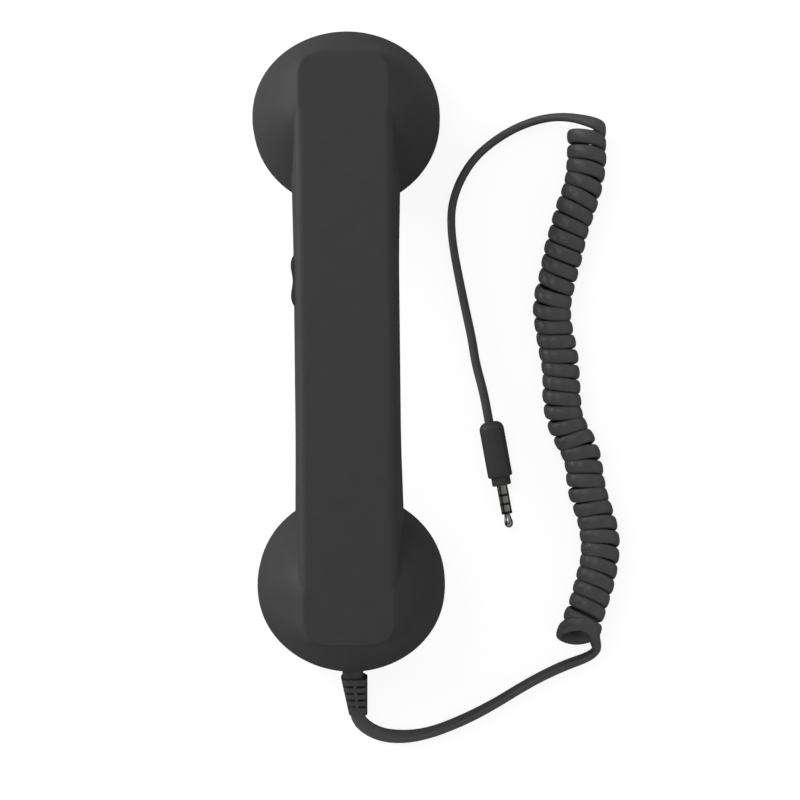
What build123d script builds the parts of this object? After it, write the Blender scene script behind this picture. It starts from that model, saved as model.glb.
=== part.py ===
"""Telephone handset with a curly cord and a 3.5 mm plug.

It lies face down on the rims of its two round caps, with its flat back up.
X runs across the handle, Y along it with the earpiece at +Y, Z up.
The origin is on the surface under the middle of the handset.
Sizes are in millimetres, angles in degrees.
"""

from build123d import *
import os
from math import cos, pi, radians, sin, sqrt, tan

# Handle
back_z = 57.0
parting_z = 44.0
handle_half = 16.0
flank_draft = 5.0
back_edge_radius = 2.4
underside_z = 33.0
underside_edge_radius = 6.0
underside_drop = 10.0
wall = 2.2

# Cups, with h the height above the cap's rim along the cup's tilted axis
tilt = 17.0
cup_radius = 30.0
cup_y = 75.0
cap_radius = 28.8
cap_edge_radius = 1.5
shell_edge_h = 4.0
ledge_h = 5.7
parting_h = 7.5
spigot_radius = 27.6
spigot_wall = 0.8
dish_radius = 24.5
dish_depth = 2.2
cap_face = 2.0
ledge_inner_radius = 20.6

# Dome of a cup, from its round foot to the flat back
crown_half_x = 13.8
crown_half_y = 10.9
crown_y = 79.5
dome_bulge = 0.92
dome_slope = 1.5
crown_shift_power = 2.75
crown_power = 4.2

# Volume rocker, on the left flank
rocker_y = 21.3
rocker_half_length = 8.4
rocker_half_height = 2.5
rocker_gap = 0.3
rocker_flange_x = -12.9
rocker_flange = 0.8
rocker_pin_x = -11.0
rocker_pin_radius = 0.75
running_clearance = 0.05

# Call button, in the inner face of the handle
button_y = 0.0
button_radius = 5.0
button_gap = 0.25
button_proud = 0.6

# Control board
board_z = 40.4
board_thickness = 1.2
board_low_y = -14.0
board_high_y = 34.0
board_half_width = 8.6

# Weight
weight_half_length = 40.0
weight_half_width = 8.5
weight_thickness = 6.0

# Speaker and microphone, with h measured as for the caps
seat_h = 4.6
speaker_radius = 19.0
capsule_radius = 4.85

# Strain relief
relief_h = 9.0
relief_half_width = 4.3
relief_half_height = 3.3
relief_wall_radius = 31.1
relief_end_radius = 44.1
relief_wall_shift = 0.4
relief_end_shift = 1.5
relief_end_half_width = 3.0
relief_end_half_height = 2.1
relief_slot_pitch = 2.45
relief_slot_depth = 1.2
relief_rib_half = 0.55

# Cord and plug
cord_diameter = 3.8
coil_diameter = 12.0
plug_x = 45.5
plug_y = -23.2
plug_z = 4.0
plug_angle = 9.7
boot_length = 18.2
boot_diameter = 8.0
boot_shoulder = 2.6
collar_length = 2.8
collar_diameter = 6.2
barrel_length = 14.0
barrel_diameter = 3.5
sleeve_length = 2.8
ring_length = 2.1
insulator_length = 0.8
tip_neck_radius = 0.95
tip_radius = 1.4

sin_tilt = sin(radians(tilt))
cos_tilt = cos(radians(tilt))
rim_z = cap_edge_radius * (1 - cos_tilt) + (cap_radius - cap_edge_radius) * sin_tilt
rim_y = cup_y - parting_h * sin_tilt
foot_z = rim_z + parting_h * cos_tilt


def cup_plane(h):
    """Plane across the earpiece cup at height h, with its own Y pointing outwards."""
    return Plane(
        origin=(0, rim_y + h * sin_tilt, rim_z + h * cos_tilt),
        x_dir=(1, 0, 0),
        z_dir=(0, sin_tilt, cos_tilt),
    )


def at_cup(side, shape):
    """A shape made at the earpiece cup (+1), or turned round to the mouthpiece cup (-1)."""
    return shape if side > 0 else Rot(0, 0, 180) * shape


def disc(radius, low_h, high_h, x=0.0, y=0.0):
    """A round piece of the cup between two heights."""
    return extrude(cup_plane(low_h) * Pos(x, y) * Circle(radius), high_h - low_h)


def ring(outer, inner, low_h, high_h):
    """A flat ring of the cup between two heights."""
    return disc(outer, low_h, high_h) - disc(inner, low_h, high_h)


def turned_face(profile):
    """A body turned about the cup's axis from a half section."""
    return cup_plane(0).location * revolve(profile, Axis.Z)


def turned(points):
    """A body turned about the cup's axis from a half section's (radius, h) points."""
    return turned_face(make_face(Polyline(*[(r, 0, h) for r, h in points], close=True)))


def dome_section(u, inset):
    """The dome's outline at share u of its height: a circle at its foot, a soft oblong on top."""
    lean = radians(tilt * sqrt(1 - u))
    least = sqrt(1 - dome_bulge ** 2)
    swell = (sqrt(1 - (dome_bulge * u) ** 2) - least) / (1 - least)
    half_x = crown_half_x + (cup_radius - crown_half_x) * swell - inset
    half_y = crown_half_y + (cup_radius - crown_half_y) * (1 - u ** dome_slope) - inset
    y = cup_y + (crown_y - cup_y) * u ** crown_shift_power
    z = foot_z + (back_z - inset - foot_z) * u
    power = 2 / (2 + (crown_power - 2) * u ** 6)
    points = []
    steps = 16
    for step in range(steps):
        angle = 2 * pi * (step - 0.25 * steps) / steps
        x_part = abs(cos(angle)) ** power * (1 if cos(angle) > 0 else -1)
        y_part = abs(sin(angle)) ** power * (1 if sin(angle) > 0 else -1)
        points.append((half_x * x_part, half_y * y_part))
    plane = Plane(origin=(0, y, z), x_dir=(1, 0, 0), z_dir=(0, sin(lean), cos(lean)))
    if u == 0:
        return plane * Rot(0, 0, -90) * Circle(cup_radius - inset)
    return plane * make_face(Spline(*points, periodic=True))


def dome(inset):
    return loft([dome_section(u, inset) for u in (0, 0.3, 0.6, 0.85, 1)])


def handle_bar(inset):
    """The handle: drafted flanks, flat back, arched and rounded inner face."""
    slope = tan(radians(flank_draft))
    top = back_z - inset
    low = 15.0
    top_half = handle_half - (top - parting_z) * slope - inset
    low_half = handle_half + (parting_z - low) * slope - inset
    corners = [(-top_half, top), (top_half, top), (low_half, low), (-low_half, low)]
    across = make_face(Polyline(*corners, close=True))
    across = fillet(across.vertices().group_by(Axis.Y)[-1], max(back_edge_radius - inset, 0.5))
    bar = extrude(Plane.XZ * across, 78, both=True)

    end = 78
    straight, deep = 22.0, 66.0
    rise = []
    for step in range(5):
        share = step / 4
        y = straight + (deep - straight) * share
        rise.append((y, underside_z + inset - underside_drop * (3 * share ** 2 - 2 * share ** 3)))
    left = [(-y, z) for y, z in reversed(rise)]
    side_view = make_face(
        Polyline((-straight, rise[0][1]), (straight, rise[0][1]))
        + Spline(*rise, tangents=[(1, 0), (1, 0)])
        + Polyline(rise[-1], (end, rise[-1][1]), (end, top), (-end, top), (-end, rise[-1][1]), left[0])
        + Spline(*left, tangents=[(1, 0), (1, 0)])
    )
    bar &= extrude(Plane.YZ * side_view, 40, both=True)
    low_edges = bar.edges().filter_by(lambda e: e.length > 10 and e.center().Z < underside_z + inset + 1)
    low_edges = low_edges.filter_by(Axis.X, reverse=True)
    return fillet(low_edges, underside_edge_radius - inset)


def half_housing(inset):
    """The earpiece half of the housing, outside (0) or inside (the wall's thickness)."""
    low_h = shell_edge_h if inset == 0 else shell_edge_h - 1
    half = handle_bar(inset) & Pos(0, 60, 0) * Box(100, 120, 200)
    half += dome(inset)
    return half + disc(cup_radius - inset, low_h, parting_h)


def below_parting():
    """Everything under the parting line: level along the handle, along the cups' feet at the ends."""
    def foot_line(y):
        return foot_z - (y - cup_y) * tan(radians(tilt))

    outline = FilletPolyline(
        (0, parting_z),
        (40, parting_z),
        (51, foot_line(51)),
        (115, foot_line(115)),
        (115, -20),
        (0, -20),
        radius=4,
    )
    half = make_face(outline + Line((0, -20), (0, parting_z)))
    half_block = extrude(Plane.YZ * half, 60, both=True)
    return half_block + mirror(half_block, about=Plane.XZ)


def relief_sections(radii, widths, heights, shifts):
    """Oblong sections of the strain relief, square to its axis, at distances from the cup's axis."""
    sections = []
    for radius, width, height, shift in zip(radii, widths, heights, shifts):
        plane = Plane(
            origin=cup_plane(relief_h).from_local_coords((shift, radius, 0)),
            x_dir=(1, 0, 0),
            z_dir=(0, cos_tilt, -sin_tilt),
        )
        sections.append(plane * RectangleRounded(2 * width, 2 * height, height * 0.8))
    return sections


def shell_posts():
    """Places of the four screw posts, in each cup's own plane."""
    return [(-20.0, 13.0), (20.0, 13.0)]


def rocker_slot():
    """The slot in the left flank that the rocker stands in."""
    slot = Box(12, 2 * (rocker_half_length + rocker_gap), 2 * (rocker_half_height + rocker_gap))
    slot = fillet(slot.edges().filter_by(Axis.X), rocker_half_height - 0.2)
    return Pos(-18, rocker_y, parting_z) * slot


def turned_round(half):
    """Both ends of the handset from one: the second is the first turned half a turn."""
    return half + Rot(0, 0, 180) * half


def plain_shells():
    """The two shells with what is the same at both ends: screw posts, ledge and tongue."""
    outer = half_housing(0)
    lower = below_parting()
    hollow = outer - half_housing(wall)
    back = hollow - lower
    front = hollow & lower
    above = outer - lower
    ledge = ring(cup_radius - wall, ledge_inner_radius, ledge_h, parting_h)
    for x, y in shell_posts():
        post = disc(2.6, parting_h, 45, x, y) - disc(1.0, parting_h, 18, x, y)
        back += post & above
        ledge -= disc(1.4, ledge_h, parting_h, x, y)
    front += ledge
    tongue = ring(27.3, 26.6, parting_h, parting_h + 1.2)
    front += tongue - Pos(0, rim_y - 27, foot_z) * Box(44, 16, 30)
    return turned_round(back), turned_round(front)


def shells():
    """The shells with the openings and supports that each place needs."""
    back, front = plain_shells()
    relief_hole = loft(relief_sections((20, 36), (3.4, 3.4), (2.6, 2.6), (0, 0)))
    back -= at_cup(-1, relief_hole)
    front -= at_cup(-1, relief_hole)
    collar_seat = loft(relief_sections((21.2, 25.4), (4.9, 4.9), (3.8, 3.8), (0, 0)))
    back -= at_cup(-1, collar_seat)
    front -= at_cup(-1, collar_seat)

    slot = rocker_slot()
    back -= slot
    front -= slot

    front -= Pos(0, button_y, underside_z) * Cylinder(button_radius + button_gap, 8)
    post_height = board_z - underside_z - 0.8
    for x in (-1, 1):
        for y in (board_low_y + 3, board_high_y - 3):
            post = Cylinder(1.7, post_height, align=(Align.CENTER, Align.CENTER, Align.MAX))
            pilot = Cylinder(0.7, 4, align=(Align.CENTER, Align.CENTER, Align.MAX))
            front += Pos(x * (board_half_width - 2), y, board_z) * post
            front -= Pos(x * (board_half_width - 2), y, board_z) * pilot

    weight_z = back_z - wall - weight_thickness
    for y in (-30, 30):
        boss = Cylinder(2.6, weight_thickness + 0.5, align=(Align.CENTER, Align.CENTER, Align.MIN))
        thread = Cylinder(0.9, 5, align=(Align.CENTER, Align.CENTER, Align.MIN))
        back += Pos(0, y, weight_z) * boss
        back -= Pos(0, y, weight_z) * thread

    socket_span = rocker_half_height + 0.8
    for level, target in ((1, "back"), (-1, "front")):
        socket = Box(5.6, 3.6, 3)
        socket = Pos(rocker_pin_x - 1.2, rocker_y, parting_z + level * (socket_span + 0.3 + 1.5)) * socket
        pin_hole = Cylinder(rocker_pin_radius, 2 * (socket_span + 1.8))
        socket -= Pos(rocker_pin_x, rocker_y, parting_z) * pin_hole
        if target == "back":
            back += socket
        else:
            front += socket
    return back, front


def cap(hole_ring_counts, hole_radius, hole_pitch, seat):
    """A round cap with a dished face, sound holes and a spigot that snaps into the shell."""
    foot = cap_radius - cap_edge_radius
    dish = TangentArc((0, 0, dish_depth), (dish_radius, 0, 0), tangent=(1, 0, 0))
    rim = Line((dish_radius, 0, 0), (foot, 0, 0))
    edge = TangentArc((foot, 0, 0), (cap_radius, 0, cap_edge_radius), tangent=(1, 0, 0))
    inside = TangentArc((0, 0, dish_depth + cap_face), (dish_radius, 0, cap_face), tangent=(1, 0, 0))
    step = Polyline(
        (cap_radius, 0, cap_edge_radius),
        (cap_radius, 0, shell_edge_h),
        (spigot_radius, 0, shell_edge_h),
        (spigot_radius, 0, ledge_h),
        (spigot_radius - spigot_wall, 0, ledge_h),
        (spigot_radius - spigot_wall, 0, cap_face + 1.4),
        (spigot_radius - 1.6, 0, cap_face),
        (dish_radius, 0, cap_face),
    )
    axis = Line((0, 0, dish_depth), (0, 0, dish_depth + cap_face))
    body = turned_face(make_face(dish + rim + edge + step + inside + axis))
    body += seat
    for count, distance in zip(hole_ring_counts, (0, hole_pitch, 2 * hole_pitch)):
        for index in range(count):
            angle = 2 * pi * index / count
            body -= disc(hole_radius, -1, seat_h + 2, distance * cos(angle), distance * sin(angle))
    return body


def earpiece():
    seat_radius = speaker_radius + 1.4
    seat = ring(seat_radius, 14.5, 2.6, seat_h) + ring(seat_radius, speaker_radius + 0.2, 2.6, 7.0)
    frame = turned([(14.6, 6.3), (speaker_radius, 6.3), (speaker_radius, 7.5), (16.0, 7.5), (15.4, 11.0),
                    (13.0, 12.2), (9.0, 12.2), (9.0, 11.0), (12.6, 11.0), (14.4, 9.8)])
    for index in range(6):
        angle = 60 * index + 30
        window = cup_plane(11.6) * Rot(0, 0, angle) * Pos(11.4, 0, 0) * Box(3.0, 5.0, 4)
        frame -= window
    pot = turned([(0, 9.0), (5.0, 9.0), (5.0, 13.0), (5.9, 13.0), (5.9, 9.0), (8.0, 9.0), (8.0, 10.2),
                  (9.0, 11.0), (9.0, 14.4), (0, 14.4)])
    coil = ring(5.7, 5.2, 7.4, 11.5)
    diaphragm = turned([(0, 8.2), (3.0, 8.05), (5.7, 7.2), (9.0, 8.0), (12.5, 7.6), (14.4, 6.3),
                        (18.6, 6.3), (18.6, 6.0), (14.2, 6.0), (12.3, 7.3), (9.0, 7.7), (5.7, 6.9),
                        (2.9, 7.75), (0, 7.9)])
    terminal = cup_plane(12.2) * Pos(0, -10.9, 0.4) * Box(8, 3.6, 0.8)
    return {
        "earpiece_cap": cap((1, 6, 12), 1.1, 3.9, seat),
        "dust_cloth": disc(17.5, seat_h, 5.0),
        "earpiece_gasket": ring(speaker_radius, 15.0, 5.0, 6.0),
        "speaker_frame": frame,
        "speaker_magnet": pot,
        "voice_coil": coil,
        "speaker_diaphragm": diaphragm,
        "speaker_terminal_board": terminal,
    }


def mouthpiece():
    seat = ring(8.2, 6.6, 2.6, 9.5)
    boot = turned([(4.0, seat_h - 0.2), (6.6, seat_h - 0.2), (6.6, 10.4), (capsule_radius, 10.4),
                   (capsule_radius, 5.4), (4.0, 5.4)])
    capsule = turned([(0, 5.4), (capsule_radius, 5.4), (capsule_radius, 10.0), (4.4, 10.4), (0, 10.4)])
    return {
        "mouthpiece_cap": cap((1, 6), 0.9, 2.6, seat),
        "microphone_boot": boot,
        "microphone_capsule": capsule,
    }


def rocker():
    """The two-lobed volume key, turning about an upright pin."""
    flank = -handle_half
    crown = flank - 1.0
    saddle = flank - 0.45
    inner = rocker_flange_x
    half = rocker_half_length
    lobe = half / 2
    outline = Spline((flank + 0.3, -half), (crown, -lobe), (saddle, 0), (crown, lobe), (flank + 0.3, half))
    sides = Polyline((flank + 0.3, half), (inner, half), (inner, -half), (flank + 0.3, -half))
    plate = make_face(outline + sides)
    key = extrude(plate, rocker_half_height, both=True)
    key = Pos(0, rocker_y, parting_z) * key
    round_slot = Box(12, 2 * half, 2 * rocker_half_height)
    round_slot = fillet(round_slot.edges().filter_by(Axis.X), rocker_half_height - 0.3)
    key &= Pos(-18, rocker_y, parting_z) * round_slot
    flange_height = 2 * rocker_half_height + 1.6
    flange = Pos(rocker_flange_x, rocker_y, parting_z) * Box(
        rocker_flange, 2 * half + 1.6, flange_height, align=(Align.MIN, Align.CENTER, Align.CENTER)
    )
    hub = Pos(rocker_pin_x, rocker_y, parting_z) * Cylinder(1.7, flange_height)
    web = Pos(-12.0, rocker_y, parting_z) * Box(1.4, 3.2, flange_height)
    bore = Pos(rocker_pin_x, rocker_y, parting_z) * Cylinder(rocker_pin_radius + running_clearance, 12)
    return key + flange + hub + web - bore


def controls():
    board_top = board_z + board_thickness
    board_y = (board_low_y + board_high_y) / 2
    board = Pos(0, board_y, board_z + board_thickness / 2) * Box(
        2 * board_half_width, board_high_y - board_low_y, board_thickness
    )
    screws = []
    for x in (-1, 1):
        for y in (board_low_y + 3, board_high_y - 3):
            spot = Pos(x * (board_half_width - 2), y, board_top)
            board -= spot * Cylinder(0.8, 6)
            shank = Cylinder(0.7, 4, align=(Align.CENTER, Align.CENTER, Align.MAX))
            head = Cylinder(1.4, 0.9, align=(Align.CENTER, Align.CENTER, Align.MIN))
            screws.append(spot * (shank + head))
    switches = []
    domes = []
    for y in (rocker_y - 6, rocker_y + 6):
        body = Box(3.4, 4.4, 3.6, align=(Align.MIN, Align.CENTER, Align.MIN))
        switches.append(Pos(-board_half_width + 0.2, y, board_top) * body)
        pad_x = rocker_flange_x + rocker_flange
        pad_length = -pad_x - (board_half_width - 0.2)
        pad = Rot(0, 90, 0) * Cylinder(1.3, pad_length, align=(Align.CENTER, Align.CENTER, Align.MIN))
        domes.append(Pos(pad_x, y, board_top + 1.8) * pad)
    chip = Pos(2.5, 12, board_top) * Box(7, 7, 1.2, align=(Align.CENTER, Align.CENTER, Align.MIN))

    floor_z = underside_z + wall
    stem_top = board_z - 1.8
    flange_z = floor_z + 0.05
    face = Cylinder(button_radius, flange_z - underside_z + button_proud,
                    align=(Align.CENTER, Align.CENTER, Align.MAX))
    face = fillet(face.edges().group_by(Axis.Z)[0], 0.5)
    flange = Cylinder(button_radius + 1.4, 0.9, align=(Align.CENTER, Align.CENTER, Align.MIN))
    stem = Cylinder(1.8, stem_top - flange_z, align=(Align.CENTER, Align.CENTER, Align.MIN))
    button = Pos(0, button_y, flange_z) * (face + flange + stem)
    call_dome = Pos(0, button_y, stem_top) * Cylinder(
        3.0, board_z - stem_top, align=(Align.CENTER, Align.CENTER, Align.MIN)
    )
    pin_half = rocker_half_height + 2.6
    return {
        "control_board": board,
        "board_screws": Compound(screws),
        "volume_switches": Compound(switches),
        "volume_domes": Compound(domes),
        "control_chip": chip,
        "volume_rocker": rocker(),
        "rocker_pin": Pos(rocker_pin_x, rocker_y, parting_z) * Cylinder(rocker_pin_radius, 2 * pin_half),
        "call_button": button,
        "call_dome": call_dome,
    }


def weight_and_screws():
    weight_z = back_z - wall - weight_thickness
    bar = Pos(0, 0, weight_z + weight_thickness / 2) * Box(
        2 * weight_half_width, 2 * weight_half_length, weight_thickness
    )
    bar = fillet(bar.edges().filter_by(Axis.Z), 2)
    screws = []
    for y in (-30, 30):
        bar -= Pos(0, y, weight_z) * Cylinder(2.75, 20)
        shank = Cylinder(0.9, 5, align=(Align.CENTER, Align.CENTER, Align.MIN))
        head = Cylinder(4.2, 1.2, align=(Align.CENTER, Align.CENTER, Align.MAX))
        screws.append(Pos(0, y, weight_z) * (shank + head))
    shell_screws = []
    for side in (1, -1):
        for x, y in shell_posts():
            screw = disc(2.1, ledge_h - 1.4, ledge_h, x, y) + disc(1.0, ledge_h, 15, x, y)
            shell_screws.append(at_cup(side, screw))
    return {
        "handle_weight": bar,
        "weight_screws": Compound(screws),
        "shell_screws": Compound(shell_screws),
    }


def strain_relief():
    """The slotted rubber sleeve, bent a little to one side, with a collar inside the cup."""
    far = relief_end_radius
    near = relief_wall_radius

    def size_at(radius):
        """Half width, half height and sideways shift of the sleeve, this far from the cup's axis."""
        share = (radius - near) / (far - near)
        width = relief_half_width + (relief_end_half_width - relief_half_width) * share
        height = relief_half_height + (relief_end_half_height - relief_half_height) * share
        return width, height, -relief_wall_shift - (relief_end_shift - relief_wall_shift) * share

    radii = [near, near + 5, near + 9, far]
    widths, heights, shifts = zip(*[size_at(radius) for radius in radii])
    sleeve = loft(relief_sections(radii, widths, heights, shifts))
    neck = loft(relief_sections((24.5, near + 0.5), (3.4, 3.4), (2.6, 2.6), (0, 0)))
    collar = loft(relief_sections((23.0, 25.0), (4.6, 4.6), (3.6, 3.6), (0, 0)))
    body = sleeve + neck + collar
    for index in range(4):
        radius = near + 2.4 + relief_slot_pitch * index
        width, height, shift = size_at(radius)
        for x in (-1, 1):
            for level in (-1, 1):
                slot = Box(width - relief_rib_half + 1, 0.95, 2 * relief_slot_depth)
                aside = shift + x * (relief_rib_half + width + 1) / 2
                body -= cup_plane(relief_h) * Pos(aside, radius, level * height) * slot
    return at_cup(-1, body)


def corner_radii(points):
    """The largest arc that each corner of a cord's route has room for."""
    radii = []
    for before, here, after in zip(points, points[1:], points[2:]):
        run_in = Vector(*here) - Vector(*before)
        run_out = Vector(*after) - Vector(*here)
        turn = radians(run_in.get_angle(run_out))
        radii.append(0.45 * min(run_in.length, run_out.length) / tan(turn / 2))
    return radii


def tube(name, points, diameter):
    """A cord's tube: straight runs joined by tangent arcs."""
    radii = corner_radii(points)
    print(name, "radii", [round(r, 1) for r in radii])
    path = FilletPolyline(*points, radius=radii)
    start = Plane(origin=points[0], z_dir=Vector(*points[1]) - Vector(*points[0]))
    body = sweep(start * Circle(diameter / 2), path=path)
    whole = pi * diameter ** 2 / 4 * path.length
    print(name, "volume", round(body.volume), "of", round(whole), "length", round(path.length))
    return body


def leads(name, points, spacing, diameter):
    """A pair of thin leads, side by side."""
    pair = []
    for x in (-spacing / 2, spacing / 2):
        pair.append(tube(name, [(px + x, py, pz) for px, py, pz in points], diameter))
    return Compound(pair)


def inner_wiring():
    board_top = board_z + board_thickness
    speaker_lead = [
        (0, 72.9, 26.2),
        (0, 69.5, 36),
        (4, 61, 43.5),
        (4, 46, 45.5),
        (2, 36, 43.4),
        (1.5, 31.5, board_top + 0.5),
    ]
    microphone_lead = [
        (-5, -77.9, 19.5),
        (-5, -73.5, 32),
        (-5, -63, 42),
        (-5, -46, 45.5),
        (-3, -22, 44),
        (-1.5, -12, board_top + 0.5),
    ]
    inner_end = [
        (0, -96.4, 14.4),
        (1, -91.5, 25),
        (2, -81, 37),
        (3, -62, 44),
        (4, -40, 45),
        (4, -15, 44),
    ]
    return {
        "speaker_leads": leads("speaker_leads", speaker_lead, 1.6, 1.0),
        "microphone_leads": leads("microphone_leads", microphone_lead, 1.6, 1.0),
        "cord_inner_end": tube("cord_inner_end", inner_end, cord_diameter),
    }


def free_cord():
    """The cord on the surface: the lead out of the handset, the coil, and the tail to the plug."""
    exit_point = cup_plane(relief_h).from_local_coords((0, relief_end_radius, 0))
    lead = [
        (relief_end_shift, -exit_point.Y, exit_point.Z),
        (1.5, -120.5, 2.88),
        (3.9, -124.0, 2.3),
        (9.0, -126.0, 2.2),
        (15.4, -126.2, 2.3),
        (27.8, -124.0, 2.4),
        (41.0, -118.0, 2.3),
        (53.0, -110.6, 2.4),
        (64.0, -105.0, 2.4),
        (71.0, -102.6, 3.0),
        (75.03, -97.43, 4.4),
        (76.83, -91.71, 4.4),
    ]
    coil = [
        (73.3, -90.6, 6.0),
        (76.4, -80.7, 6.0),
        (79.4, -70.2, 6.0),
        (80.8, -60.4, 6.0),
        (77.6, -48.8, 6.0),
        (74.8, -35.6, 6.0),
        (69.4, -24.6, 6.0),
        (68.6, -11.6, 6.0),
        (66.6, 2.6, 6.0),
        (65.4, 14.6, 6.0),
        (69.2, 30.0, 6.0),
        (73.0, 43.0, 6.0),
        (77.2, 54.0, 6.0),
        (77.8, 70.6, 6.0),
    ]
    tail = [
        (81.5, 70.47, 4.4),
        (81.68, 75.3, 4.4),
        (77.6, 78.9, 3.4),
        (70.6, 78.4, 2.6),
        (61.4, 76.0, 2.4),
        (50.0, 70.8, 2.4),
        (40.2, 62.6, 2.4),
        (33.6, 50.4, 2.4),
        (33.0, 38.6, 2.4),
        (35.8, 23.2, 2.4),
        (39.4, 5.6, 2.4),
        (43.48, -11.37, 4.0),
        (plug_x, plug_y, plug_z),
    ]
    return {
        "cord_lead": tube("cord_lead", lead, cord_diameter),
        "cord_coil": tube("cord_coil", coil, coil_diameter),
        "cord_tail": tube("cord_tail", tail, cord_diameter),
    }


def plug():
    """The moulded boot and the four-pole plug, lying on the boot."""
    along = Plane(
        origin=(plug_x, plug_y, plug_z),
        x_dir=(0, 0, 1),
        z_dir=(sin(radians(plug_angle)), -cos(radians(plug_angle)), 0),
    )

    def turned_along(outline):
        return along.location * revolve(make_face(outline), Axis.Z)

    def turned_band(low, high):
        corners = [(0, 0, low), (barrel, 0, low), (barrel, 0, high), (0, 0, high)]
        return turned_along(Polyline(*corners, close=True))

    barrel = barrel_diameter / 2
    upright = (Align.CENTER, Align.CENTER, Align.MIN)
    boot = Cylinder(boot_diameter / 2, boot_length, align=upright)
    boot = fillet(boot.edges().group_by(Axis.Z)[0], boot_shoulder)
    boot = fillet(boot.edges().group_by(Axis.Z)[-1], 0.6)
    collar = Pos(0, 0, boot_length) * Cylinder(collar_diameter / 2, collar_length, align=upright)
    collar = fillet(collar.edges().group_by(Axis.Z)[-1], 0.4)
    start = boot_length + collar_length
    end = start + barrel_length
    pieces = {
        "plug_boot": along.location * boot,
        "plug_collar": along.location * collar,
        "plug_sleeve": turned_band(start, start + sleeve_length),
    }
    low = start + sleeve_length
    for index in (1, 2, 3):
        pieces[f"plug_insulator_{index}"] = turned_band(low, low + insulator_length)
        low += insulator_length
        if index < 3:
            pieces[f"plug_ring_{index}"] = turned_band(low, low + ring_length)
            low += ring_length
    bulge = Spline(
        (tip_neck_radius, 0, low),
        (1.15, 0, low + 1.5),
        (tip_radius, 0, low + 3.1),
        (1.0, 0, end - 0.5),
        (0, 0, end),
        tangents=[(0.08, 0, 1), (-1, 0, 0.15)],
    )
    axis = Polyline((0, 0, end), (0, 0, low), (tip_neck_radius, 0, low))
    pieces["plug_tip"] = turned_along(bulge + axis)
    return pieces


def build_all():
    back, front = shells()
    nodes = {"back_shell": back, "front_shell": front}
    for name, shape in earpiece().items():
        nodes[name] = shape
    for name, shape in mouthpiece().items():
        nodes[name] = at_cup(-1, shape)
    nodes.update(controls())
    nodes.update(weight_and_screws())
    nodes["strain_relief"] = strain_relief()
    nodes.update(inner_wiring())
    nodes.update(free_cord())
    nodes.update(plug())
    return nodes


os.makedirs("parts", exist_ok=True)
for node_name, node_shape in build_all().items():
    export_step(node_shape, f"parts/{node_name}.step")
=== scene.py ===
from math import copysign, cos, pi, radians, sin

import bpy
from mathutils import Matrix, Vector


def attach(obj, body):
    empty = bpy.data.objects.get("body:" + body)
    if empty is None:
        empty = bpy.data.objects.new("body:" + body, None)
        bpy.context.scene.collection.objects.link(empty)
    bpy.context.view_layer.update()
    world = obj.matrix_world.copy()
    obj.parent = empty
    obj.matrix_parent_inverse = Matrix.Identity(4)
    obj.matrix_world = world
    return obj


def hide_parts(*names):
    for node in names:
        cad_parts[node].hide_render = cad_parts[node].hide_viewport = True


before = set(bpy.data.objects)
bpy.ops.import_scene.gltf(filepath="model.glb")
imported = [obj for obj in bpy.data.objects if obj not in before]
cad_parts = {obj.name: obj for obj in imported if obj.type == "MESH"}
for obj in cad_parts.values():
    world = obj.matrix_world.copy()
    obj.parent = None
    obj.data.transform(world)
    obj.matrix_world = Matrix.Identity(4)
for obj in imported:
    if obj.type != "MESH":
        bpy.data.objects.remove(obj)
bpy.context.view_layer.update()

collection = bpy.context.scene.collection

# Camera: it hangs straight over the floor that the handset lies on, 0.8 m up, with a long lens, so
# the flat back is seen square on and both cups show a little of their outer sides. Here and below,
# sizes are in metres and angles in degrees.
eye_over = (0.0162, -0.0158)
eye_height = 0.8
eye_roll = 0.63
camera = bpy.data.objects.new("camera", bpy.data.cameras.new("camera"))
camera.data.lens = 110.16
camera.data.sensor_width = 36
camera.data.clip_start = 0.05
camera.location = (*eye_over, eye_height)
camera.rotation_euler = (0, 0, -radians(eye_roll))
collection.objects.link(camera)
bpy.context.scene.camera = camera


def add(tree, kind, inputs=None, **settings):
    """A shader node with its settings; an input is a value, or the socket that feeds it."""
    node = tree.nodes.new(kind)
    for name, value in settings.items():
        setattr(node, name, value)
    for name, value in (inputs or {}).items():
        if isinstance(value, bpy.types.NodeSocket):
            tree.links.new(value, node.inputs[name])
        else:
            node.inputs[name].default_value = value
    return node


def linear(colour):
    """The linear values of a colour that is written as sRGB hex."""
    parts = [int(colour[i:i + 2], 16) / 255 for i in (1, 3, 5)]
    return (*[p / 12.92 if p <= 0.04045 else ((p + 0.055) / 1.055) ** 2.4 for p in parts], 1.0)


def new_material(name):
    """An empty material and its node tree."""
    material = bpy.data.materials.new(name)
    material.use_nodes = True
    material.node_tree.nodes.clear()
    return material, material.node_tree


# Studio: pale walls under a darker ceiling, with a low wide window of light on the left, a weaker
# one beyond the earpiece and a small softbox overhead. The camera sees the walls as plain white.
wall_light = 0.58
ceiling_light = 0.27
ceiling_from = 0.9
white = linear("#ffffff")
room = bpy.data.worlds.new("white room")
room.use_nodes = True
tree = room.node_tree
tree.nodes.clear()
rays = add(tree, "ShaderNodeLightPath")
around = add(tree, "ShaderNodeTexCoord")
height = add(tree, "ShaderNodeSeparateXYZ", {"Vector": around.outputs["Generated"]})
brightness = add(tree, "ShaderNodeMapRange", {
    "Value": height.outputs["Z"], "From Min": 0.0, "From Max": ceiling_from,
    "To Min": wall_light, "To Max": ceiling_light})
fill = add(tree, "ShaderNodeBackground", {"Color": white, "Strength": brightness.outputs[0]})
seen = add(tree, "ShaderNodeBackground", {"Color": white, "Strength": 1.0})
plain = add(tree, "ShaderNodeMath", {
    0: rays.outputs["Is Camera Ray"], 1: rays.outputs["Is Transmission Ray"]}, operation="MAXIMUM")
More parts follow.
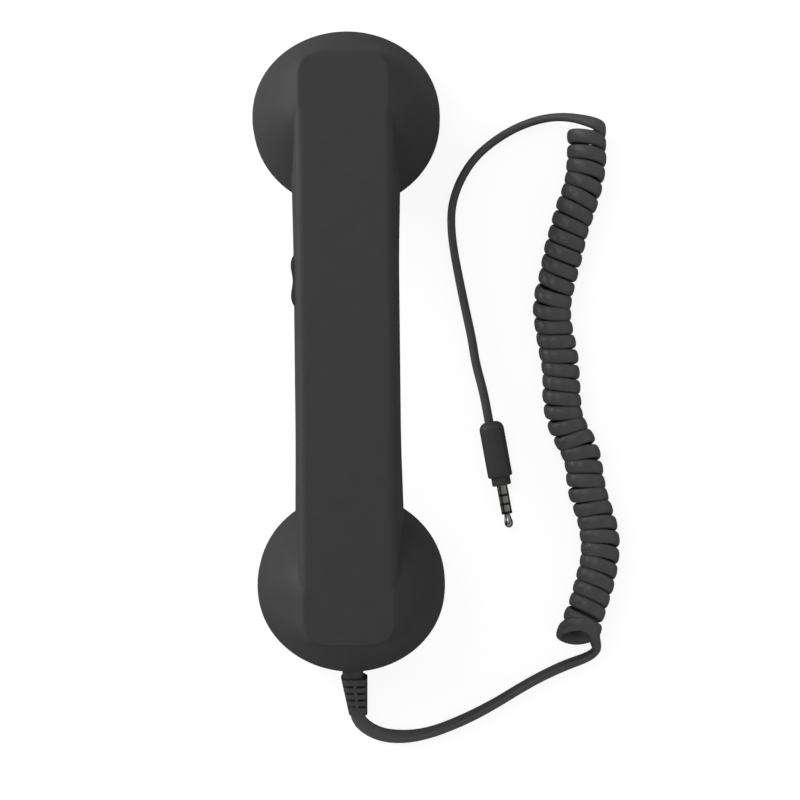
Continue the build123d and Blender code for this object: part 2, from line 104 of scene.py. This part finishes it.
walls = add(tree, "ShaderNodeMixShader", {
    0: plain.outputs[0], 1: fill.outputs[0], 2: seen.outputs[0]})
add(tree, "ShaderNodeOutputWorld", {"Surface": walls.outputs[0]})
bpy.context.scene.world = room
bpy.context.scene.view_settings.view_transform = "Standard"

# Each lamp has its place, the width of its square and its power in watts, and faces the handset.
handset_middle = Vector((0.0, 0.0, 0.03))
lamps = {
    "window_left": ((-0.62, 0.33, 0.18), 0.6, 3.8),
    "window_far": ((-0.10, 1.10, 0.25), 0.8, 0.5),
    "overhead_softbox": ((-0.33, 0.32, 0.85), 0.35, 0.9),
}
for name, (place, width, power) in lamps.items():
    light = bpy.data.lights.new(name, "AREA")
    light.shape = "SQUARE"
    light.size = width
    light.energy = power
    lamp = bpy.data.objects.new(name, light)
    lamp.location = place
    lamp.rotation_euler = (handset_middle - Vector(place)).to_track_quat("-Z", "Y").to_euler()
    collection.objects.link(lamp)

# Floor: seamless white paper, grey enough to keep the shadow soft, which the camera sees lifted to
# white. From below it is clear, so that the caps and the inner face of the handle can be seen.
paper_half = 3.0
paper_glow = 0.88
paper_mesh = bpy.data.meshes.new("paper_floor")
corners = [(-paper_half, -paper_half, 0), (paper_half, -paper_half, 0), (paper_half, paper_half, 0),
           (-paper_half, paper_half, 0)]
paper_mesh.from_pydata(corners, [], [(0, 1, 2, 3)])
paper_floor = bpy.data.objects.new("paper_floor", paper_mesh)
collection.objects.link(paper_floor)
white_paper, tree = new_material("white seamless paper")
rays = add(tree, "ShaderNodeLightPath")
paper = add(tree, "ShaderNodeBsdfDiffuse", {"Color": linear("#a8a8a8"), "Roughness": 1.0})
shown = add(tree, "ShaderNodeMath", {
    0: rays.outputs["Is Camera Ray"], 1: paper_glow}, operation="MULTIPLY")
glow = add(tree, "ShaderNodeEmission", {"Color": white, "Strength": shown.outputs[0]})
above = add(tree, "ShaderNodeAddShader", {0: paper.outputs[0], 1: glow.outputs[0]})
below = add(tree, "ShaderNodeBsdfTransparent")
face = add(tree, "ShaderNodeNewGeometry")
sides = add(tree, "ShaderNodeMixShader", {
    0: face.outputs["Backfacing"], 1: above.outputs[0], 2: below.outputs[0]})
add(tree, "ShaderNodeOutputMaterial", {"Surface": sides.outputs[0]})
paper_mesh.materials.append(white_paper)


def dress(material, *names):
    """The material on CAD nodes."""
    for name in names:
        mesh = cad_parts[name].data
        mesh.materials.clear()
        mesh.materials.append(material)


# Shells and caps: injection-moulded ABS sprayed with a black soft-touch lacquer. The lacquer gives
# a dark grey with hardly any gloss, faint clouds and a fine orange peel, and rounds each crease.
lacquer_grey = "#474747"
lacquer_grey_rubbed = "#4a4a4a"
cloud_size = 0.006
peel_size = 0.0006
peel_depth = 0.00002
crease_radius = 0.0012
lacquer, tree = new_material("soft-touch lacquer on moulded ABS")
place = add(tree, "ShaderNodeTexCoord")
cloud = add(tree, "ShaderNodeTexNoise", {
    "Vector": place.outputs["Object"], "Scale": 1 / cloud_size, "Detail": 5.0, "Roughness": 0.62})
peel = add(tree, "ShaderNodeTexNoise", {
    "Vector": place.outputs["Object"], "Scale": 1 / peel_size, "Detail": 2.0, "Roughness": 0.6})
tone = add(tree, "ShaderNodeMapRange", {
    "Value": cloud.outputs["Fac"], "From Min": 0.32, "From Max": 0.72})
# A Mix node's colours are its sockets 6 and 7, and the mixed colour is its output 2.
colour = add(tree, "ShaderNodeMix", {
    0: tone.outputs[0], 6: linear(lacquer_grey), 7: linear(lacquer_grey_rubbed)}, data_type="RGBA")
dull = add(tree, "ShaderNodeMapRange", {
    "Value": peel.outputs["Fac"], "To Min": 0.50, "To Max": 0.62})
crease = add(tree, "ShaderNodeBevel", {"Radius": crease_radius}, samples=6)
dimple = add(tree, "ShaderNodeBump", {
    "Height": peel.outputs["Fac"], "Distance": peel_depth, "Strength": 0.5,
    "Normal": crease.outputs[0]})
skin = add(tree, "ShaderNodeBsdfPrincipled", {
    "Base Color": colour.outputs[2], "Roughness": dull.outputs[0], "IOR": 1.48,
    "Specular IOR Level": 0.22, "Normal": dimple.outputs[0]})
add(tree, "ShaderNodeOutputMaterial", {"Surface": skin.outputs[0]})
dress(lacquer, "back_shell", "front_shell", "earpiece_cap", "mouthpiece_cap")


def grained(name, tones, roughness, grain, sockets=None):
    """A material of two tones that meet in soft clouds, dulled by a grain of a size and a depth.

    Real grain is about 0.1 mm, too fine to show, so it is drawn two to eight times as coarse.
    """
    grain_size, grain_depth = grain
    clouds_to_grain = 10
    material, tree = new_material(name)
    place = add(tree, "ShaderNodeTexCoord")
    clouds = add(tree, "ShaderNodeTexNoise", {
        "Vector": place.outputs["Object"], "Scale": 1 / (clouds_to_grain * grain_size),
        "Detail": 4.0})
    grit = add(tree, "ShaderNodeTexNoise", {
        "Vector": place.outputs["Object"], "Scale": 1 / grain_size, "Detail": 3.0})
    colour = add(tree, "ShaderNodeMix", {
        0: clouds.outputs["Fac"], 6: linear(tones[0]), 7: linear(tones[1])}, data_type="RGBA")
    dull = add(tree, "ShaderNodeMapRange", {
        "Value": grit.outputs["Fac"], "To Min": roughness[0], "To Max": roughness[1]})
    bump = add(tree, "ShaderNodeBump", {
        "Height": grit.outputs["Fac"], "Distance": grain_depth, "Strength": 0.5})
    skin = add(tree, "ShaderNodeBsdfPrincipled", {
        "Base Color": colour.outputs[2], "Roughness": dull.outputs[0], "Normal": bump.outputs[0],
        **(sockets or {})})
    add(tree, "ShaderNodeOutputMaterial", {"Surface": skin.outputs[0]})
    return material


# Keys: the two-lobed volume rocker in the left flank and the round call button in the inner face.
# Both are moulded ABS left unpainted, a little darker and glossier than the lacquer around them.
keys = grained("moulded black ABS", tones=("#2f2f2f", "#3a3a3a"), roughness=(0.34, 0.46),
               grain=(0.0004, 0.00001), sockets={"IOR": 1.54})
dress(keys, "volume_rocker", "call_button")


# Steel parts: the rocker's pin, the speaker's pot, the weight in the handle and all the screws. They
# are turned, pressed or rolled and then zinc-plated, which gives a cool grey metal, half bright.
zinc = grained("zinc-plated steel", tones=("#a9abae", "#bfc1c4"), roughness=(0.28, 0.42),
               grain=(0.0005, 0.00001), sockets={"Metallic": 1.0})
dress(zinc, "rocker_pin", "speaker_magnet", "handle_weight", "weight_screws", "shell_screws",
      "board_screws")


# Inside the earpiece: a moving-coil speaker behind a mesh cloth, held on a foam ring. Its frame is
# moulded ABS, stiffened with glass fibre, dull and nearly black.
housing = grained("moulded glass-filled ABS", tones=("#1c1c1c", "#242424"), roughness=(0.45, 0.6),
                  grain=(0.0003, 0.00002))
dress(housing, "speaker_frame", "control_chip", "volume_switches")
# The cloth is woven polyester: dead black, with a little light caught by its threads.
cloth = grained("woven black polyester mesh", tones=("#0c0c0c", "#191919"), roughness=(0.75, 0.95),
                grain=(0.00025, 0.00008), sockets={"Sheen Weight": 0.3})
dress(cloth, "dust_cloth")
# The ring is cut from foam rubber: dark and chalky, with shallow pores.
foam = grained("closed-cell rubber foam", tones=("#262626", "#343434"), roughness=(0.8, 0.95),
               grain=(0.0006, 0.00012))
dress(foam, "earpiece_gasket")
# The diaphragm is pressed from thin polyester film: pale, smooth and glossy.
film = grained("pressed polyester film", tones=("#8d8f92", "#a2a4a7"), roughness=(0.12, 0.25),
               grain=(0.0008, 0.00001))
dress(film, "speaker_diaphragm")
# The voice coil is wound from enamelled copper wire: a warm metal under a thin clear coat.
winding = grained("enamelled copper winding", tones=("#a4572c", "#c07040"), roughness=(0.25, 0.4),
                  grain=(0.0002, 0.00005), sockets={"Metallic": 0.9})
dress(winding, "voice_coil")


# Inside the handle and the mouthpiece: the boards are pressed glass epoxy under a green solder mask,
# satin and a little cloudy. They are screwed down, and thin wires run between them.
board = grained("solder-masked glass epoxy", tones=("#0f3b22", "#16492c"), roughness=(0.3, 0.45),
                grain=(0.0006, 0.00002))
dress(board, "control_board", "speaker_terminal_board")
# The keys' domes and the microphone's boot are moulded silicone rubber: an even, matte mid grey.
silicone = grained("moulded silicone rubber", tones=("#4a4a4b", "#585859"), roughness=(0.5, 0.65),
                   grain=(0.0004, 0.00001))
dress(silicone, "volume_domes", "call_dome", "microphone_boot")
# The microphone's can is drawn aluminium: a pale, clean metal.
can = grained("drawn aluminium can", tones=("#b4b6b8", "#c8cacc"), roughness=(0.22, 0.35),
              grain=(0.0004, 0.00001), sockets={"Metallic": 1.0})
dress(can, "microphone_capsule")
# The wires are covered with extruded PVC: red, with a satin shine.
wire = grained("red PVC wire covering", tones=("#7d1512", "#942019"), roughness=(0.35, 0.5),
               grain=(0.0004, 0.00001))
dress(wire, "speaker_leads", "microphone_leads")


# Strain relief: a tapered sleeve of flexible PVC with rows of cross slots, moulded on the cord and
# held by its collar in the mouthpiece cup. It is a shade darker and duller than the cord.
relief_rubber = grained("moulded flexible PVC", tones=("#474747", "#505050"), roughness=(0.46, 0.6),
                        grain=(0.0004, 0.00002))
dress(relief_rubber, "strain_relief")


# Cord: a flat black PVC-covered cord, 4.6 by 2.65 mm and 1.38 m long. It leaves the relief lying
# flat, turns up on its edge along the floor, is wound into 36 close turns on its flat side, and runs
# on to the plug. Halfway past the 24th turn the coil gapes a little, and is more open from there on.
cord_width = 0.00456
cord_thickness = 0.00265
coil_outside = 0.0126
turn_radius = (coil_outside - cord_thickness) / 2
coil_turns = 36
steps_a_turn = 16
tight_pitch = 0.00462
open_pitch = 0.00486
open_turn = 24.5
open_gap = 0.0004
open_gap_turns = 0.4
upright = Vector((0, 0, 1))


def smooth_line(name, points):
    """Points read off a smooth spline that has the given points as its control points."""
    curve = bpy.data.curves.new(name, "CURVE")
    curve.dimensions = "3D"
    spline = curve.splines.new("NURBS")
    spline.points.add(len(points) - 1)
    for point, (x, y, z) in zip(spline.points, points):
        point.co = (x, y, z, 1.0)
    spline.order_u = 3
    spline.use_endpoint_u = True
    spline.resolution_u = 4
    holder = bpy.data.objects.new(name, curve)
    collection.objects.link(holder)
    mesh = bpy.data.meshes.new_from_object(holder)
    line = [v.co.copy() for v in mesh.vertices]
    bpy.data.objects.remove(holder)
    bpy.data.curves.remove(curve)
    bpy.data.meshes.remove(mesh)
    return line


def directions(line):
    """The direction of a line at each of its points."""
    last = len(line) - 1
    return [(line[min(i + 1, last)] - line[max(i - 1, 0)]).normalized() for i in range(last + 1)]


def ease(share):
    """A smooth step from 0 to 1."""
    share = min(max(share, 0.0), 1.0)
    return share * share * (3 - 2 * share)


# The coil's middle line, with the bends that it lies in on the floor, from its mouth to its far end.
middle_height = 0.006
coil_bends = [
    (0.0729, -0.0928), (0.0757, -0.0850), (0.0788, -0.0754), (0.0810, -0.0653), (0.0797, -0.0552),
    (0.0761, -0.0456), (0.0754, -0.0339), (0.0700, -0.0250), (0.0685, -0.0175), (0.0686, -0.0058),
    (0.0668, 0.0038), (0.0653, 0.0141), (0.0680, 0.0240), (0.0702, 0.0339), (0.0730, 0.0437),
    (0.0767, 0.0533), (0.0778, 0.0633), (0.0775, 0.0726),
]
middle_line = smooth_line("coil_middle_route", [(x, y, middle_height) for x, y in coil_bends])
middle_ways = directions(middle_line)
reached = [0.0]
for before, here in zip(middle_line, middle_line[1:]):
    reached.append(reached[-1] + (here - before).length)


def on_middle_line(distance):
    """The place and direction of the coil's middle line, this far along it."""
    distance = min(max(distance, 0.0), reached[-1])
    index = next(i for i in range(1, len(reached)) if reached[i] >= distance)
    share = (distance - reached[index - 1]) / (reached[index] - reached[index - 1])
    place = middle_line[index - 1].lerp(middle_line[index], share)
    return place, middle_ways[index - 1].lerp(middle_ways[index], share).normalized()


# The first turn hangs open at the coil's mouth, and the last one stands off at its far end: each
# row is a turn that is reached, and how far the cord is moved along the coil there, in millimetres.
slips = [
    (0.0, 0.4), (0.125, 2.9), (0.25, 3.5), (0.375, 1.0), (0.5, -2.3), (0.625, -4.4), (0.75, -4.9),
    (0.875, -3.1), (1.0, -1.4), (1.25, -0.8), (1.5, -0.9), (2.1, 0.0), (34.8, 0.0), (35.25, 0.2),
    (35.5, 0.5), (36.0, -0.6),
]
# How far the turns tip, as millimetres that each turn's top stands ahead of its sides.
tips = [
    (0.0, 0.0), (1.2, 0.0), (2.2, 0.6), (8.0, 0.6), (16.0, 0.0), (22.0, -0.6), (27.0, -0.6),
    (33.0, 0.3), (35.0, 0.9), (36.0, 0.9),
]
mm_per_m = 1000


def read_off(table, turn):
    """The value that a table of turns gives here, on a smooth curve through its entries."""
    last = len(table) - 1
    after = next(i for i in range(1, last + 1) if turn <= table[i][0])
    before = after - 1
    slopes = []
    for i in (before, after):
        (x0, y0), (x1, y1) = table[max(i - 1, 0)], table[min(i + 1, last)]
        slopes.append((y1 - y0) / (x1 - x0))
    span = table[after][0] - table[before][0]
    share = (turn - table[before][0]) / span
    bend_in = share * (1 - share) ** 2 * span * slopes[0]
    bend_out = share * share * (share - 1) * span * slopes[1]
    rise = table[after][1] - table[before][1]
    return table[before][1] + rise * ease(share) + bend_in + bend_out


# How much wider than a tight turn the turns lie, as shares of its radius. A swelling starts or ends
# at a turn, over so many turns, and every turn wanders a little.
mouth_swell, mouth_end, mouth_over = 0.11, 0.4, 1.6
near_swell, near_end, near_over = 0.035, 6, 4
far_swell, far_start, far_over = 0.04, 24, 4
wander = 0.015
wander_rate = 1.9


def looseness(turn):
    """How much wider than a tight turn the coil is here, as a share of its radius."""
    mouth = mouth_swell * (1 - ease((turn - mouth_end) / mouth_over))
    near = near_swell * (1 - ease((turn - near_end) / near_over))
    far = far_swell * ease((turn - far_start) / far_over)
    return mouth + near + far + wander * sin(wander_rate * turn)


turn_points = []
for step in range(coil_turns * steps_a_turn + 1):
    turn = step / steps_a_turn
    angle = 2 * pi * turn
    distance = tight_pitch * turn + (open_pitch - tight_pitch) * max(turn - open_turn, 0)
    distance += open_gap * ease((turn - open_turn) / open_gap_turns)
    place, way = on_middle_line(distance)
    side = way.cross(upright).normalized()
    up = side.cross(way)
    radius = turn_radius * (1 + looseness(turn))
    lift = max(radius + cord_thickness / 2 - place.z, 0)
    slip = read_off(slips, turn) + read_off(tips, turn) * (sin(angle) - 1)
    place = place + side * radius * cos(angle) + up * (radius * sin(angle) + lift)
    turn_points.append(place + way * slip / mm_per_m)

# From the relief along the floor to the coil's mouth; the last number is how far the cord is turned
# up on its edge.
lead_route = [
    (0.0013, -0.1150, 0.0054, 0),
    (0.0004, -0.1193, 0.0027, 0),
    (0.0073, -0.1246, 0.0025, 14),
    (0.0161, -0.1257, 0.0025, 40),
    (0.0245, -0.1244, 0.0025, 58),
    (0.0324, -0.1216, 0.0025, 62),
    (0.0400, -0.1182, 0.0025, 64),
    (0.0473, -0.1143, 0.0025, 71),
    (0.0544, -0.1100, 0.0025, 71),
    (0.0616, -0.1061, 0.0025, 71),
    (0.0694, -0.1026, 0.0025, 66),
    (0.0775, -0.0999, 0.0025, 74),
    (0.0799, -0.0968, 0.0036, 88),
]
# From the coil's far end over its last turn, down to the floor and round to the plug.
tail_route = [
    (0.0824, 0.0712, 0.0092, 150),
    (0.0802, 0.0729, 0.0106, 140),
    (0.0721, 0.0754, 0.0069, 108),
    (0.0644, 0.0755, 0.0038, 95),
    (0.0559, 0.0730, 0.0024, 91),
    (0.0483, 0.0687, 0.0024, 90),
    (0.0415, 0.0631, 0.0024, 90),
    (0.0366, 0.0558, 0.0024, 88),
    (0.0336, 0.0474, 0.0024, 86),
    (0.0335, 0.0386, 0.0024, 84),
    (0.0347, 0.0299, 0.0024, 82),
    (0.0363, 0.0214, 0.0024, 80),
    (0.0380, 0.0127, 0.0024, 78),
    (0.0398, 0.0042, 0.0024, 77),
    (0.0410, -0.0044, 0.0026, 76),
    (0.0433, -0.0130, 0.0035, 75),
    (0.0448, -0.0215, 0.0039, 74),
    (0.0455, -0.0259, 0.0040, 74),
]
route = [row[:3] for row in lead_route]
route += [tuple(point) for point in turn_points]
route += [row[:3] for row in tail_route]
cord_line = smooth_line("cord_route", route)
cord_ways = directions(cord_line)

# How the cord lies along that route: turned up on its edge by so much, and wound (1) or not (0).
on_edge = 90
lay = [(row[3], 0, 0) for row in lead_route]
lay += [(on_edge, 1, 0)] * len(turn_points)
lay += [(row[3], 0, 0) for row in tail_route]
cord_lay = smooth_line("cord_lay", lay)

# Its section: a flat oval, a little fuller at the corners than an ellipse.
ring_steps = 16
corner_power = 0.8
section = []
for step in range(ring_steps):
    angle = 2 * pi * step / ring_steps
    wide = copysign(abs(cos(angle)) ** corner_power, cos(angle))
    high = copysign(abs(sin(angle)) ** corner_power, sin(angle))
    section.append((cord_width / 2 * wide, cord_thickness / 2 * high))


def off_middle_line(index, place):
    """How far a place is from this point of the coil's middle line."""
    return (middle_line[index] - place).length


points = []
distance = 0.0
distances = []
nearest = 0
middle_end = len(middle_line) - 1
for index, (place, way, (turned_up, wound, _)) in enumerate(zip(cord_line, cord_ways, cord_lay)):
    if index:
        distance += (place - cord_line[index - 1]).length
    distances.append(distance)
    while nearest < middle_end and off_middle_line(nearest + 1, place) < off_middle_line(nearest, place):
        nearest += 1
    level = way.cross(upright)
    edge_up = level.cross(way)
    flat = level * cos(radians(turned_up)) + edge_up * sin(radians(turned_up))
    flat = flat.lerp(-middle_ways[nearest], wound)
    flat = (flat - way * flat.dot(way)).normalized()
    across = way.cross(flat)
    points.extend(place + flat * wide + across * high for wide, high in section)

faces = []
for index in range(len(cord_line) - 1):
    here = index * ring_steps
    ahead = here + ring_steps
    for step in range(ring_steps):
        following = (step + 1) % ring_steps
        faces.append((here + step, here + following, ahead + following, ahead + step))
faces.append(tuple(reversed(range(ring_steps))))
faces.append(tuple(range(len(points) - ring_steps, len(points))))
cord_mesh = bpy.data.meshes.new("curly_cord")
cord_mesh.from_pydata(points, [], faces)
cord_mesh.polygons.foreach_set("use_smooth", [True] * len(faces))
grain_map = cord_mesh.uv_layers.new(name="along_and_around")
for face in cord_mesh.polygons:
    for loop in face.loop_indices:
        ring, step = divmod(cord_mesh.loops[loop].vertex_index, ring_steps)
        grain_map.data[loop].uv = (distances[ring], step / ring_steps)
curly_cord = bpy.data.objects.new("curly_cord", cord_mesh)
collection.objects.link(curly_cord)

# Its covering is extruded PVC: satin and dark grey, with soft clouds and faint draw lines along it.
draw_line_length = 0.025
draw_lines_around = 30.0
draw_line_depth = 0.00004
jacket_cloud_size = 0.00625
jacket, tree = new_material("extruded satin PVC")
place = add(tree, "ShaderNodeTexCoord")
drawn = add(tree, "ShaderNodeMapping", {
    "Vector": place.outputs["UV"], "Scale": (1 / draw_line_length, draw_lines_around, 1.0)})
lines = add(tree, "ShaderNodeTexNoise", {"Vector": drawn.outputs[0], "Scale": 1.0, "Detail": 3.0})
clouds = add(tree, "ShaderNodeTexNoise", {
    "Vector": place.outputs["Object"], "Scale": 1 / jacket_cloud_size, "Detail": 4.0})
colour = add(tree, "ShaderNodeMix", {
    0: clouds.outputs["Fac"], 6: linear("#545454"), 7: linear("#616161")}, data_type="RGBA")
dull = add(tree, "ShaderNodeMapRange", {
    "Value": lines.outputs["Fac"], "To Min": 0.32, "To Max": 0.44})
bump = add(tree, "ShaderNodeBump", {
    "Height": lines.outputs["Fac"], "Distance": draw_line_depth, "Strength": 0.5})
skin = add(tree, "ShaderNodeBsdfPrincipled", {
    "Base Color": colour.outputs[2], "Roughness": dull.outputs[0], "IOR": 1.5,
    "Specular IOR Level": 0.4, "Normal": bump.outputs[0]})
add(tree, "ShaderNodeOutputMaterial", {"Surface": skin.outputs[0]})
cord_mesh.materials.append(jacket)
dress(jacket, "cord_inner_end")

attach(curly_cord, "handset")
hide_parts("cord_lead", "cord_coil", "cord_tail")


# Plug: a four-pole 3.5 mm jack. The grip and its collar are moulded PVC, matte and dark grey, and
# are moulded over the cord's end and the plug's body.
grip = grained("matte moulded PVC", tones=("#404040", "#484848"), roughness=(0.5, 0.62),
               grain=(0.0004, 0.00002))
dress(grip, "plug_boot", "plug_collar")
# The rings that part the poles are moulded nylon: black, with a smooth gloss.
nylon = grained("moulded black nylon", tones=("#0b0b0b", "#121212"), roughness=(0.22, 0.32),
                grain=(0.0003, 0.000005))
dress(nylon, "plug_insulator_1", "plug_insulator_2", "plug_insulator_3")
# The poles are turned brass under polished nickel: a bright metal with a warm cast.
nickel = grained("polished nickel plate", tones=("#a8a6a2", "#bab8b4"), roughness=(0.14, 0.24),
                 grain=(0.0003, 0.000004), sockets={"Metallic": 1.0})
dress(nickel, "plug_sleeve", "plug_ring_1", "plug_ring_2", "plug_tip")
